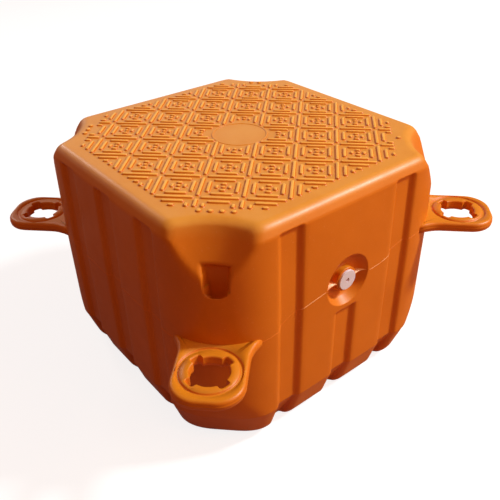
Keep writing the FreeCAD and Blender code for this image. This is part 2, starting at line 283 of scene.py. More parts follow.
def furthest_inside(inside, near, far, halvings=HALVINGS):
    """Largest distance that is still inside, found by halving the way from near to far."""
    for _ in range(halvings):
        middle = (near + far) / 2
        within = inside(middle)
        near = np.where(within, middle, near)
        far = np.where(within, far, middle)
    return near


def spread(marks):
    """Places from marks (place, spacing up to the next mark)."""
    places = []
    for (low, gap), (high, _) in zip(marks, marks[1:]):
        count = max(1, round((high - low) / gap))
        places += [low + (high - low) * k / count for k in range(count)]
    return places + [marks[-1][0]]


def side_ways(side):
    """Directions along a side and out of it, seen from above, for sides 0 to 3 from the vent's."""
    angle = math.radians(90 * side)
    along = np.array([math.cos(angle), math.sin(angle)])
    outwards = np.array([math.sin(angle), -math.cos(angle)])
    return along, outwards


def half_width(z):
    """Distance from the centre to a side of the float at height z."""
    half = PARTING_WIDTH / 2
    upper = half - UPPER_DRAFT * (z - PARTING_HEIGHT) / (HEIGHT - PARTING_HEIGHT)
    lower = half - LOWER_DRAFT * (PARTING_HEIGHT - z) / (PARTING_HEIGHT - SKIRT_HEIGHT)
    skirt = half - LOWER_DRAFT - SKIRT_LEAN * (SKIRT_HEIGHT - z) / SKIRT_HEIGHT
    skirt = skirt - SKIRT_STEP * np.clip(SKIRT_HEIGHT - z, 0, 1)
    return soft_min(np.minimum(upper, lower), skirt, SKIRT_CREASE)


def deck_height(x, y):
    """Height of the deck, which curves down towards its rim."""
    past_rim = rounded_box(np.abs(x) - CORNER_AXIS, np.abs(y) - CORNER_AXIS) - CORNER_RADIUS
    share = 1 + np.clip(past_rim, -RIM_WIDTH, RIM_OVERRUN) / RIM_WIDTH
    return HEIGHT - RIM_DROP * share ** 2


def groove_depth(z):
    """Depth of a side groove, which grows towards the foot."""
    return GROOVE_DEPTH + (GROOVE_FOOT_DEPTH - GROOVE_DEPTH) * np.clip(1 - z / SKIRT_HEIGHT, 0, 1)


def groove_field(x, y, z):
    """Below zero inside the side grooves."""
    on_x = np.abs(x) > np.abs(y)
    along = np.where(on_x, y, x)
    below_wall = half_width(z) - np.where(on_x, np.abs(x), np.abs(y))
    step = np.clip(np.round(along / GROOVE_PITCH), -1, 1)
    under_vent = (step == 0) & ~on_x & (y < 0)
    top = np.where(under_vent, VENT_GROOVE_TOP, GROOVE_TOP)
    mouth = GROOVE_WIDTH / 2 - GROOVE_WALL_SLOPE * np.minimum(below_wall, GROOVE_DEPTH)
    mouth = mouth - GROOVE_DRAFT * np.maximum(below_wall - GROOVE_DEPTH, 0)
    groove = both(np.abs(along - step * GROOVE_PITCH) - mouth, below_wall - groove_depth(z), GROOVE_ROOT)
    return both(groove, z - top, GROOVE_END_ROUND)


def pocket_field(reach, across, z):
    """Below zero inside the slot below a scoop."""
    share = (z - POCKET_BOTTOM) / (POCKET_TOP - POCKET_BOTTOM)
    half = (POCKET_BOTTOM_WIDTH + (POCKET_TOP_WIDTH - POCKET_BOTTOM_WIDTH) * share) / 2
    side = np.abs(across - POCKET_ASIDE) - half + POCKET_ROUND
    inwards = np.maximum(CORNER_REACH + CORNER_RADIUS - reach, 0)
    slot = rounded_box(side, POCKET_BOTTOM + POCKET_ROUND - z) - POCKET_ROUND
    slot = np.maximum(slot, z - POCKET_TOP)
    return both(slot, inwards - POCKET_DEPTH, POCKET_ROOT)


def side_field(x, y, z):
    """Distance outside the drafted sides and their round corners."""
    return rounded_box(np.abs(x) - CORNER_AXIS, np.abs(y) - CORNER_AXIS) - (half_width(z) - CORNER_AXIS)


def foot_field(reach, z):
    """Below zero inside the slanted plane that cuts off the foot of a corner."""
    lean = (CORNER_REACH + half_width(FOOT_TOP) - CORNER_AXIS - FOOT_REACH) / FOOT_TOP
    return (reach - FOOT_REACH - lean * z) / math.hypot(1, lean)


def rim_field(sides, x, y, z):
    """Below zero under the deck and inside the slanted band round its rim."""
    bevel = sides * math.cos(BEVEL_TILT) + (z - BEVEL_FOOT) * math.sin(BEVEL_TILT)
    return both(bevel, z - deck_height(x, y), RIM_ROUND)


def scoop_field(reach, across, z):
    """Below zero outside the tilted cylinder that scoops out a corner of the deck."""
    deck_corner = CORNER_REACH + PARTING_WIDTH / 2 - UPPER_DRAFT - CORNER_AXIS
    axis_reach = deck_corner - SCOOP_DEPTH + SCOOP_RADIUS / math.cos(SCOOP_TILT)
    off_axis = (reach - axis_reach) * math.cos(SCOOP_TILT) + (z - HEIGHT) * math.sin(SCOOP_TILT)
    return SCOOP_RADIUS - np.hypot(off_axis, across)


def float_field(x, y, z):
    """Below zero inside the float, above zero outside it."""
    reach = (np.abs(x) + np.abs(y)) / math.sqrt(2)
    across = (np.abs(x) - np.abs(y)) / math.sqrt(2)
    sides = side_field(x, y, z)
    near_deck = np.clip(1 - (HEIGHT - z) / DECK_LAYER, 0, 1)
    scoop_round = SCOOP_SIDE_ROUND + (SCOOP_TOP_ROUND - SCOOP_SIDE_ROUND) * near_deck
    up_pocket = np.clip((z - POCKET_BOTTOM) / (POCKET_TOP - POCKET_BOTTOM), 0, 1)
    pocket_lip = POCKET_LOW_LIP + (POCKET_LIP - POCKET_LOW_LIP) * up_pocket
    value = both(sides, foot_field(reach, z), FOOT_ROUND)
    value = both(value, -z, BASE_ROUND)
    value = both(value, rim_field(sides, x, y, z), BEVEL_CREASE)
    value = both(value, scoop_field(reach, across, z), scoop_round)
    value = both(value, -pocket_field(reach, across * np.sign(x * y), z), pocket_lip)
    return both(value, -groove_field(x, y, z), GROOVE_LIP)


def pocket_fall(x, y, z):
    """How far a pocket's inside is drawn down, as level rays can't find a floor that falls inwards."""
    depth = np.maximum(-side_field(x, y, z), 0)
    low = np.clip((POCKET_TOP - z) / (POCKET_TOP - POCKET_BOTTOM), 0, 1) * (z > POCKET_BOTTOM)
    in_corner = np.abs(np.abs(x) - np.abs(y)) / math.sqrt(2) < POCKET_TOP_WIDTH
    return POCKET_FLOOR_FALL * depth * low * in_corner


def side_columns():
    """Places along a side, close together where a groove's edges are."""
    near = GROOVE_WIDTH / 2 - GROOVE_EDGE_IN
    far = GROOVE_WIDTH / 2 + GROOVE_EDGE_OUT
    marks = [(-CORNER_AXIS, CORNER_GAP)]
    for step in (-1, 0, 1):
        middle = step * GROOVE_PITCH
        marks += [(middle - far, EDGE_GAP), (middle - near, FLOOR_GAP)]
        marks += [(middle + near, EDGE_GAP), (middle + far, RIB_GAP)]
        if step == -1:
            marks.append((-PATCH_HALF, FLOOR_GAP))
        if step == 0:
            marks.append((PATCH_HALF, RIB_GAP))
    return spread(marks + [(CORNER_AXIS, RIB_GAP)])[:-1]


def ray_plan():
    """Starts and directions, seen from above, of the rays that find the float's surface."""
    starts = []
    ways = []
    inner = CORNER_RADIUS - FAN
    for side in range(4):
        along, outwards = side_ways(side)
        for place in side_columns():
            starts.append(along * place + outwards * (CORNER_AXIS + inner))
            ways.append(outwards)
        for turn in spread(CORNER_TURNS)[:-1]:
            swing = math.radians(turn)
            way = outwards * math.cos(swing) + along * math.sin(swing)
            starts.append((along + outwards) * CORNER_AXIS + way * inner)
            ways.append(way)
    return np.array(starts), np.array(ways)


def ray_rows():
    """Height and tilt of each row of rays, from the base over the sides to the deck."""
    heights = [
        (FAN, EDGE_GAP),
        SKIRT_ROWS,
        VENT_GROOVE_ROWS,
        (PARTING_HEIGHT - PATCH_HALF, PATCH_ROW_GAP),
        (PARTING_HEIGHT + PATCH_HALF, POCKET_ROW_GAP),
        SCOOP_ROWS,
        (HEIGHT - FAN, EDGE_GAP),
    ]
    rows = [(FAN, math.radians(tilt)) for tilt in spread(BASE_TILTS)[:-1]]
    rows += [(z, 0.0) for z in spread(heights)]
    rows += [(HEIGHT - FAN, math.radians(tilt)) for tilt in spread(DECK_TILTS)[1:]]
    return np.array(rows)


def shell_grid():
    """Points on the float's surface, one row of them per height or tilt."""
    plan, ways = ray_plan()
    rows = ray_rows()
    start_z = rows[:, :1] + np.zeros(len(plan))
    tilts = rows[:, 1:]
    dx = ways[:, 0] * np.cos(tilts)
    dy = ways[:, 1] * np.cos(tilts)
    dz = np.sin(tilts) + np.zeros(len(plan))

    def at(distance):
        return plan[:, 0] + dx * distance, plan[:, 1] + dy * distance, start_z + dz * distance

    def inside(distance):
        return float_field(*at(distance)) < 0

    x, y, z = at(furthest_inside(inside, np.zeros_like(start_z), RAY_LENGTH))
    return np.stack([x, y, z - pocket_fall(x, y, z)], -1)


def rounded_path(corners):
    """Points along a path of corners (a, b, rounding)."""
    path = []
    for index, (a, b, rounding) in enumerate(corners):
        here = np.array([a, b], float)
        if rounding == 0 or index in (0, len(corners) - 1):
            path.append(here)
            continue
        back = np.array(corners[index - 1][:2], float) - here
        ahead = np.array(corners[index + 1][:2], float) - here
        back /= np.linalg.norm(back)
        ahead /= np.linalg.norm(ahead)
        half = math.acos(float(np.clip(back @ ahead, -1, 1))) / 2
        bisector = (back + ahead) / np.linalg.norm(back + ahead)
        centre = here + bisector * rounding / math.sin(half)
        entry = here + back * rounding / math.tan(half) - centre
        leave = here + ahead * rounding / math.tan(half) - centre
        for k in range(ROUND_STEPS + 1):
            way = entry * (ROUND_STEPS - k) + leave * k
            path.append(centre + way / np.linalg.norm(way) * rounding)
    return path


def vent_profile():
    """Vent's section from its rim inwards, as (radius, depth below the side)."""
    corners = [
        (VENT_RADIUS + VENT_MARGIN, 0, 0),
        (VENT_RADIUS, 0, VENT_EDGE),
        (VENT_FLOOR_RADIUS, VENT_DEPTH, VENT_ROUND),
        (BOSS_RADIUS, VENT_DEPTH, BOSS_ROOT),
        (BOSS_RADIUS, BOSS_SET_BACK, BOSS_EDGE),
        (PLUG_BORE / 2, BOSS_SET_BACK, 0),
    ]
    return rounded_path(corners)


def vent_patch(grid):
    """Which points of the shell's grid lie in the square that the vent is let into."""
    near_x = np.abs(grid[..., 0]) < PATCH_HALF + PATCH_MARGIN
    near_z = np.abs(grid[..., 2] - PARTING_HEIGHT) < PATCH_HALF + PATCH_MARGIN
    return near_x & near_z & (grid[..., 1] < 0)


def shell_faces(in_patch):
    """Faces between the rows of the shell's grid and over its ends, with the vent's square left open."""
    rows, columns = in_patch.shape
    faces = []
    for row in range(rows - 1):
        for column in range(columns):
            after = (column + 1) % columns
            corners = [(row, column), (row, after), (row + 1, after), (row + 1, column)]
            if not all(in_patch[corner] for corner in corners):
                faces.append([r * columns + c for r, c in corners])
    faces.append([(rows - 1) * columns + column for column in range(columns)])
    faces.append(list(reversed(range(columns))))
    return faces


def vent_bearing(point):
    """Direction from the vent's axis to a point."""
    return math.atan2(point[2] - PARTING_HEIGHT, point[0])


def patch_edge(grid, in_patch):
    """Indices of the points round the edge of the vent's square, in turn about its axis."""
    rows, columns = np.nonzero(in_patch)
    edge = [
        (row, column) for row, column in zip(rows, columns)
        if row in (rows.min(), rows.max()) or column in (columns.min(), columns.max())
    ]
    edge.sort(key=lambda place: vent_bearing(grid[place]))
    return [row * grid.shape[1] + column for row, column in edge]


def let_in_vent(points, faces, ring):
    """Adds the vent's dish inside a ring of points, from its rim to the boss's face under the plug."""
    bearings = np.array([vent_bearing(points[index]) for index in ring])
    for radius, depth in vent_profile():
        x = radius * np.cos(bearings)
        z = PARTING_HEIGHT + radius * np.sin(bearings)
        share = np.clip((radius - VENT_FLOOR_RADIUS) / (VENT_RADIUS - VENT_FLOOR_RADIUS), 0, 1)
        side = PARTING_WIDTH / 2 + (half_width(z) - PARTING_WIDTH / 2) * share
        following = list(range(len(points), len(points) + len(ring)))
        points += np.stack([x, depth - side, z], -1).tolist()
        for k in range(len(ring)):
            after = (k + 1) % len(ring)
            faces.append([ring[k], ring[after], following[after], following[k]])
        ring = following
    faces.append(ring)


def float_shell(material):
    """The float without its lugs and tread, with the vent's dish let into its -Y side."""
    grid = shell_grid()
    in_patch = vent_patch(grid)
    points = grid.reshape(-1, 3).tolist()
    faces = shell_faces(in_patch)
    let_in_vent(points, faces, patch_edge(grid, in_patch))
    return mesh_piece("float_shell", points, faces, material)


def in_notch(distance, off):
    """Whether a point at a distance from a lug's eye, at angle off a notch's middle, is in the notch."""
    side = np.abs(distance * np.sin(off)) - (NOTCH_WIDTH / 2 - NOTCH_ROUND)
    end = distance * np.cos(off) - (NOTCH_REACH - NOTCH_ROUND)
    return (rounded_box(side, end) < NOTCH_ROUND) & (np.cos(off) > 0)


def hole_radii(angles):
    """Distance from a lug's eye to the edge of its notched hole, at each angle."""
    radii = np.full(len(angles), HOLE_RADIUS)
    for notch in NOTCH_ANGLES:
        off = angles - math.radians(notch)
        notch_end = furthest_inside(lambda distance: in_notch(distance, off), HOLE_RADIUS, NOTCH_REACH)
        radii = np.maximum(radii, notch_end)
    return radii


def lug_outline(ways):
    """Lug's outline seen from its eye in each direction, as (ahead, across), and its outward normals."""
    web_side = LUG_HALF_WIDTH + LUG_WEB_RADIUS
    met_radius = CORNER_RADIUS - LUG_BURY
    web_reach = CORNER_REACH + math.sqrt((met_radius + LUG_WEB_RADIUS) ** 2 - web_side ** 2)
    share = met_radius / (met_radius + LUG_WEB_RADIUS)
    foot = CORNER_REACH + (web_reach - CORNER_REACH) * share
    web_ahead = web_reach - EYE_REACH
    foot_ahead = foot - EYE_REACH

    def inside(distance):
        ahead = distance * ways[:, 0]
        across = np.abs(distance * ways[:, 1])
        tip = rounded_box(ahead - LUG_TIP_REACH + LUG_TIP_ROUND, across - LUG_HALF_WIDTH + LUG_TIP_ROUND)
        back = web_ahead - ahead
        sweep = np.sqrt(np.maximum(LUG_WEB_RADIUS ** 2 - back ** 2, 0))
        web = across - (web_side - sweep)
        flank = np.where(ahead > web_ahead, tip - LUG_TIP_ROUND, web)
        return np.maximum(flank, foot_ahead - ahead) < 0

    reach = furthest_inside(inside, HOLE_RADIUS, LUG_RAY_LENGTH, FINE_HALVINGS)
    places = ways * reach[:, None]
    along = np.roll(places, -1, 0) - np.roll(places, 1, 0)
    normals = np.stack([along[:, 1], -along[:, 0]], -1)
    return places, normals / np.linalg.norm(normals, axis=1)[:, None]


def lug_angles():
    """Angles about a lug's eye, close together where the flanks of the notches are."""
    marks = []
    for notch in NOTCH_ANGLES:
        marks += [(notch - NOTCH_OUTER_TURN, NOTCH_FLANK_GAP), (notch - NOTCH_INNER_TURN, NOTCH_END_GAP)]
        marks += [(notch + NOTCH_INNER_TURN, NOTCH_FLANK_GAP), (notch + NOTCH_OUTER_TURN, NOTCH_END_GAP)]
    first_again = 360 + NOTCH_ANGLES[0] - NOTCH_OUTER_TURN
    return np.radians(spread(marks + [(first_again, NOTCH_END_GAP)])[:-1])


def lug_loop(angles):
    """Rings of points of one lug about its eye, its top at z = 0, from the hole round to the hole."""
    holes = hole_radii(angles)
    ways = np.stack([np.cos(angles), np.sin(angles)], -1)
    outer, normals = lug_outline(ways)
    outer = outer - normals * SEAM_HEIGHT
    low = -LUG_THICKNESS
    middle = low / 2
    hole_seam = middle - HOLE_SEAM_DROP
    quarter = [math.radians(90 * k / ROUND_STEPS) for k in range(ROUND_STEPS + 1)]
    rings = []

    def at_hole(out, z):
        rings.append((ways * (holes + out)[:, None], z))

    def at_radius(radius, z):
        rings.append((ways * radius, z))

    def at_edge(back, z):
        rings.append((outer - normals * back, z))

    for turn in quarter:
        at_hole(HOLE_EDGE * (1 - math.cos(turn)), -HOLE_EDGE * (1 - math.sin(turn)))
    half = LUG_RING_WIDTH / 2
    soft = LUG_RING_SOFTNESS
    dip = [(-half - soft, 0), (-half + soft, 0.5), (-half + 3 * soft, 0.95), (0, 1)]
    dip += [(-off, share) for off, share in reversed(dip[:-1])]
    for off, share in dip:
        at_radius(LUG_RING_RADIUS + off, -LUG_RING_DEPTH * share)
    for turn in quarter:
        at_edge(LUG_EDGE_ROUND * (1 - math.sin(turn)), -LUG_EDGE_ROUND * (1 - math.cos(turn)))
    at_edge(0, middle + SEAM_HALF_WIDTH)
    at_edge(-SEAM_HEIGHT, middle + SEAM_HALF_WIDTH / 3)
    at_edge(-SEAM_HEIGHT, middle - SEAM_HALF_WIDTH / 3)
    at_edge(0, middle - SEAM_HALF_WIDTH)
    for turn in reversed(quarter):
        at_edge(LUG_EDGE_ROUND * (1 - math.sin(turn)), low + LUG_EDGE_ROUND * (1 - math.cos(turn)))
    at_radius(LUG_RING_RADIUS, low)
    for turn in reversed(quarter):
        at_hole(HOLE_EDGE * (1 - math.cos(turn)), low + HOLE_EDGE * (1 - math.sin(turn)))
    at_hole(0, hole_seam - SEAM_HALF_WIDTH)
    at_hole(-SEAM_HEIGHT, hole_seam)
    at_hole(0, hole_seam + SEAM_HALF_WIDTH)
    return rings


def link_lugs(material):
    """The four lugs, stepping up round the float, their roots buried in its corners."""
    angles = lug_angles()
    rings = lug_loop(angles)
    count = len(angles)
    points = []
    faces = []
    for step, turn in enumerate(CORNER_ANGLES):
        top = LOWEST_LUG_TOP + step * LUG_THICKNESS
        ahead = np.array([math.cos(math.radians(turn)), math.sin(math.radians(turn))])
        across = np.array([-ahead[1], ahead[0]])
        first = len(points)
        for places, z in rings:
            plan = (EYE_REACH + places[:, :1]) * ahead + places[:, 1:] * across
            points += np.column_stack([plan, np.full(count, top + z)]).tolist()
        for r in range(len(rings)):
            this = first + r * count
            following = first + ((r + 1) % len(rings)) * count
            for k in range(count):
                after = (k + 1) % count
                faces.append([this + k, following + k, following + after, this + after])
    return mesh_piece("link_lugs", points, faces, material)


def reach_to_corner(x, y):
    """How far a point lies out along the diagonal to its own corner of the deck."""
    return (abs(x) + abs(y)) / math.sqrt(2)


def clear_of_corner(x, y, length, angle):
    """A bar's place and length, cut short at the corner of the deck, or None if nothing stays."""
    reach = reach_to_corner(x, y)
    points_outwards = x * y * math.sin(math.radians(2 * angle)) > 0
    if abs(abs(x) - abs(y)) < BAR_WIDTH and reach > LAST_STUB_REACH and length < TILE / 2:
        return None
    span = length if points_outwards else BAR_WIDTH
    excess = max(reach + span / 2 - TREAD_CORNER_REACH, 0)
    if excess == 0:
        return x, y, length, angle
    if not points_outwards or length - excess < BAR_WIDTH:
        return None
    shift = excess / 2 / math.sqrt(2)
    return x - math.copysign(shift, x), y - math.copysign(shift, y), length - excess, angle


def tile_bars(column, row):
    """Bars of one tile, along one diagonal or the other like a chequerboard."""
    first = -TILE * (TILES_PER_SIDE - 1) / 2
    x = first + TILE * column
    y = first + TILE * row
    angle = -45 if (column + row) % 2 == 0 else 45
    across = math.radians(angle + 90)
    pitch = TILE / 4
    bars = []
    for step in range(-BARS_EACH_SIDE, BARS_EACH_SIDE + 1):
        length = TILE * math.sqrt(2) - 2 * abs(step) * pitch - 2 * BAR_END_GAP
        centre_x = x + step * pitch * math.cos(across)
        centre_y = y + step * pitch * math.sin(across)
        bars.append(clear_of_corner(centre_x, centre_y, length, angle))
    return [bar for bar in bars if bar is not None]


def tread_places():
    """All bars and dots of the tread as (x, y, length, angle, radius)."""
    middle = TILES_PER_SIDE // 2
    places = []
    for column in range(TILES_PER_SIDE):
        for row in range(TILES_PER_SIDE):
            if not (column in (middle - 1, middle) and row in (middle - 1, middle)):
                places += [(*bar, BAR_WIDTH / 2) for bar in tile_bars(column, row)]
    for a in range(1, TILES_PER_SIDE):
        for b in range(1, TILES_PER_SIDE):
            x = TILE * (a - middle)
            y = TILE * (b - middle)
            in_corner = reach_to_corner(x, y) + DOT_RADIUS > TREAD_CORNER_REACH
            if (a + b) % 2 == 0 and (a, b) != (middle, middle) and not in_corner:
                places.append((x, y, 2 * DOT_RADIUS, 0, DOT_RADIUS))
    for step, turn in enumerate(CORNER_ANGLES):
        count = len(CORNER_ANGLES) - step
        swing = math.radians(turn)
        for k in range(count):
            off = (k - (count - 1) / 2) * CORNER_DOT_PITCH
            x = CORNER_DOT_REACH * math.cos(swing) - off * math.sin(swing)
            y = CORNER_DOT_REACH * math.sin(swing) + off * math.cos(swing)
            places.append((x, y, 2 * CORNER_DOT_RADIUS, 0, CORNER_DOT_RADIUS))
    return places


def bar_profile():
    """Section of a bar or dot from the deck up, as (growth outwards, height)."""
    return [
        (1.5, -TREAD_BURY),
        (0.8, 0.2),
        (0.4, 0.8),
        (0.1, BAR_HEIGHT - BAR_EDGE),
        (-0.35 * BAR_EDGE, BAR_HEIGHT - 0.3 * BAR_EDGE),
        (-BAR_EDGE, BAR_HEIGHT),
    ]


def raised_bar(points, faces, x, y, length, angle, radius):
    """Adds one bar with round ends, standing on the deck with softened edges."""
    swing = math.radians(angle)
    straight = length / 2 - radius
    turns = [math.radians(180 * k / ROUND_STEPS - 90) for k in range(ROUND_STEPS + 1)]
    first = len(points)
    count = 2 * len(turns)
    profile = bar_profile()
    for growth, z in profile:
        grown = radius + growth
        loop = [(straight + grown * math.cos(t), grown * math.sin(t)) for t in turns]
        loop += [(-a, -b) for a, b in loop]
        for a, b in loop:
            along = a * math.cos(swing) - b * math.sin(swing)
            aside = a * math.sin(swing) + b * math.cos(swing)
            points.append((x + along, y + aside, float(deck_height(x + along, y + aside)) + z))
    for level in range(len(profile) - 1):
        for k in range(count):
            after = (k + 1) % count
            low = first + level * count
            faces.append([low + k, low + after, low + count + after, low + count + k])
    top = first + (len(profile) - 1) * count
    faces.append([top + k for k in range(count)])


def raised_ring(points, faces):
    """Adds the ring round the bare disc in the middle of the deck."""
    half = DISC_RING_WIDTH / 2
    outer = [
        (half + DISC_RING_FLARE, -TREAD_BURY),
        (half, DISC_RING_FOOT),
        (half - DISC_RING_EDGE, DISC_RING_HEIGHT),
    ]
    profile = [(-off, z) for off, z in outer] + outer[::-1]
    count = DISC_RING_STEPS
    first = len(points)
    for off, z in profile:
        for k in range(count):
            turn = 2 * math.pi * k / count
            radius = DISC_RING_RADIUS + off
            points.append((radius * math.cos(turn), radius * math.sin(turn), HEIGHT + z))
    for level in range(len(profile) - 1):
        for k in range(count):
            after = (k + 1) % count
            this = first + level * count
            faces.append([this + k, this + count + k, this + count + after, this + after])


def deck_tread(material):
    """Bars, dots and the disc's ring on the deck."""
    points = []
    faces = []
    for x, y, length, angle, radius in tread_places():
        raised_bar(points, faces, x, y, length, angle, radius)
    raised_ring(points, faces)
    return mesh_piece("deck_tread", points, faces, material)


def surface_depth(x, z, side):
    """Distance from the centre plane to the float's surface at places x along a side, heights z."""
    along, outwards = side_ways(side)

    def inside(distance):
        plan_x, plan_y = np.outer(along, x) + outwards[:, None] * distance
        return float_field(plan_x, plan_y, z) < 0

    return furthest_inside(inside, np.full(len(x), SIDE_RAY_START), SIDE_RAY_END)


def seam_height(x, side):
    """Height of the seam at places x along a side, on its way between the lugs at the side's ends."""
    first_step = -side % 4
    last_step = -(side + 1) % 4
    start = LOWEST_LUG_TOP + (first_step - 0.5) * LUG_THICKNESS
    end = LOWEST_LUG_TOP + (last_step - 0.5) * LUG_THICKNESS
    return start + (end - start) * np.interp(x, SEAM_PLACES, SEAM_RISES) / SEAM_RISES[-1]


def join_sections(points, faces, count):
    """Adds the faces between the last two sections of a strip, each of them count points."""
    here = len(points) - count
    before = here - count
    for k in range(count - 1):
        faces.append([before + k, here + k, here + k + 1, before + k + 1])


def bowl_web(points, faces, side):
    """Thin web of flash between the vent's boss and its rim, to the left or right."""
    sag_depth = WEB_SAG if side > 0 else WEB_SAG / 2
    back = VENT_DEPTH + WEB_BURY - PARTING_WIDTH / 2
    for k in range(WEB_STEPS + 1):
        share = k / WEB_STEPS
        x = side * (BOSS_RADIUS - WEB_BURY + (VENT_RADIUS - BOSS_RADIUS + 2 * WEB_BURY) * share)
        sag = sag_depth * 4 * share * (1 - share)
        front = BOSS_SET_BACK * (1 - share) + sag - PARTING_WIDTH / 2
        section = ((back, -WEB_HALF), (front, -WEB_HALF / 2), (front, WEB_HALF / 2), (back, WEB_HALF))
        for y, up in section:
            points.append((x, y, PARTING_HEIGHT + up))
        if k:
            join_sections(points, faces, len(section))


def parting_flash(material):
    """Fine line of flash where the mould's halves met, rising from lug to lug on each side."""
    points = []
    faces = []
    section = [
        (-SEAM_HALF_WIDTH, -SEAM_BURY),
        (-SEAM_TOP_HALF, SEAM_HEIGHT),
        (SEAM_TOP_HALF, SEAM_HEIGHT),
        (SEAM_HALF_WIDTH, -SEAM_BURY),
    ]
    x = np.linspace(SEAM_PLACES[0], SEAM_PLACES[-1], SEAM_POINTS)
    for side in range(4):
        along, outwards = side_ways(side)
        z = seam_height(x, side)
        depth = surface_depth(x, z, side)
        keep = (np.abs(x) > VENT_RADIUS + VENT_MARGIN) | (side > 0)
        for k in range(SEAM_POINTS):
            for up, out in section:
                plan = along * x[k] + outwards * (depth[k] + out)
                points.append((plan[0], plan[1], z[k] + up))
            if k and keep[k] and keep[k - 1]:
                join_sections(points, faces, len(section))
    for side in (-1, 1):
        bowl_web(points, faces, side)
    return mesh_piece("parting_flash", points, faces, material)


def new_material(name):
    """Material with an empty node tree but for its shader and output."""
    material = bpy.data.materials.new(name)
    material.use_nodes = True
    return material, material.node_tree, material.node_tree.nodes["Principled BSDF"]


def object_place(tree):
    """Position on the object, in metres in its own frame."""
    return tree.nodes.new("ShaderNodeTexCoord").outputs["Object"]


def split_vector(tree, vector):
    """The X, Y and Z of a vector."""
    node = tree.nodes.new("ShaderNodeSeparateXYZ")
    tree.links.new(vector, node.inputs[0])
    return node.outputs


def noise(tree, place, scale, detail, roughness=0.5):
    """Noise texture at a scale per metre of the object."""
    node = tree.nodes.new("ShaderNodeTexNoise")
    node.inputs["Scale"].default_value = scale
    node.inputs["Detail"].default_value = detail
    node.inputs["Roughness"].default_value = roughness
    tree.links.new(place, node.inputs["Vector"])
    return node.outputs["Fac"]


def remap(tree, value, low, high, out_low, out_high):
    """Value moved from one range to another and held there."""
    node = tree.nodes.new("ShaderNodeMapRange")
    node.inputs["From Min"].default_value = low
    node.inputs["From Max"].default_value = high
    node.inputs["To Min"].default_value = out_low
    node.inputs["To Max"].default_value = out_high
    tree.links.new(value, node.inputs["Value"])
    return node.outputs["Result"]


def mixed(tree, share, first, second):
    """Colour between two, by a share."""
    node = tree.nodes.new("ShaderNodeMix")
    node.data_type = "RGBA"
    for socket, colour in ((node.inputs["A"], first), (node.inputs["B"], second)):
        if isinstance(colour, tuple):
            socket.default_value = (*colour, 1)
        else:
            tree.links.new(colour, socket)
    tree.links.new(share, node.inputs["Factor"])
    return node.outputs["Result"]


def bumped(tree, height, strength, distance, after=None):
    """Bump from a height, on top of another bump."""
    node = tree.nodes.new("ShaderNodeBump")
    node.inputs["Strength"].default_value = strength
    node.inputs["Distance"].default_value = distance
    tree.links.new(height, node.inputs["Height"])
    if after is not None:
        tree.links.new(after, node.inputs["Normal"])
    return node.outputs["Normal"]


def calculated(tree, operation, first, second):
    """Result of a sum on two values, either from a node or plain numbers."""
    node = tree.nodes.new("ShaderNodeMath")
    node.operation = operation
    for socket, value in zip(node.inputs, (first, second)):
        if isinstance(value, float):
            socket.default_value = value
        else:
            tree.links.new(value, socket)
    return node.outputs[0]


def deck_colour(tree, place, facing_up, colour):
    """Colour with a painted sheen on the deck, painted light on the tops of its bars and painted shade on
    their sides.
    """
    height = split_vector(tree, place)["Z"]
    # Painted sheen: the deck and its rim's rounding, where they face up, are paled in uneven patches.
    on_deck = remap(tree, height, *DECK_SHEEN_LEVELS, 0, 1)
    sheen_by_facing = remap(tree, facing_up, 0.2, 0.9, 0, 1)
    patches = remap(tree, noise(tree, place, 22, 4, 0.6), 0.3, 0.7, 0.6, 1)
    deck_sheen = calculated(tree, "MULTIPLY", calculated(tree, "MULTIPLY", sheen_by_facing, on_deck), patches)
    colour = mixed(tree, deck_sheen, colour, DECK_SHEEN_ORANGE)
    # Painted light: the tops of the bars are painted pale.
    lit_bar_tops = remap(tree, height, *LIT_BAR_TOP_LEVELS, 0, 1)
    colour = mixed(tree, lit_bar_tops, colour, LIT_BAR_TOP_ORANGE)
    # Painted shade: the steep sides of the bars, between the deck and their tops, are darkened.
    in_tread = remap(tree, height, *BAR_FOOT_LEVELS, 0, 1)
    shaded_bar_sides = calculated(tree, "SUBTRACT", in_tread, lit_bar_tops)
    steep = remap(tree, facing_up, 0.6, 0.9, 1, 0)
    return mixed(tree, calculated(tree, "MULTIPLY", shaded_bar_sides, steep), colour, SHADED_BAR_SIDE_ORANGE)


def orange_plastic():
    """Satin blow-moulded polyethylene, with painted light: paler where it faces up, a painted sheen most
    on the deck, painted light on the bar tops and painted shade on the bar sides.
    """
    material, tree, shader = new_material("orange_polyethylene")
    place = object_place(tree)
    normal = tree.nodes.new("ShaderNodeNewGeometry").outputs["True Normal"]
    facing_up = split_vector(tree, normal)["Z"]
    clouds = remap(tree, noise(tree, place, 9, 3), 0.35, 0.65, 0, 1)
    colour = mixed(tree, clouds, ORANGE, CLOUDED_ORANGE)
    # Painted light: surfaces that face up are given a paler orange.
    upwards = remap(tree, facing_up, 0.6, 0.97, 0, 1)
    colour = mixed(tree, upwards, colour, LIT_UPWARD_ORANGE)
    colour = deck_colour(tree, place, facing_up, colour)
    specks = remap(tree, noise(tree, place, 420, 2), 0.66, 0.74, 0, 0.35)
    colour = mixed(tree, specks, colour, PALE_SPECK)
    tree.links.new(colour, shader.inputs["Base Color"])
    gloss = remap(tree, noise(tree, place, 30, 4, 0.6), 0.3, 0.7, 0.36, 0.43)
    tree.links.new(gloss, shader.inputs["Roughness"])
    ripple = bumped(tree, noise(tree, place, 14, 2), 0.25, 0.004)
    grain = bumped(tree, noise(tree, place, 700, 3), 0.12, 0.0004, ripple)
    tree.links.new(grain, shader.inputs["Normal"])
    shader.inputs["IOR"].default_value = 1.5
    shader.inputs["Specular IOR Level"].default_value = 0.4
    return material


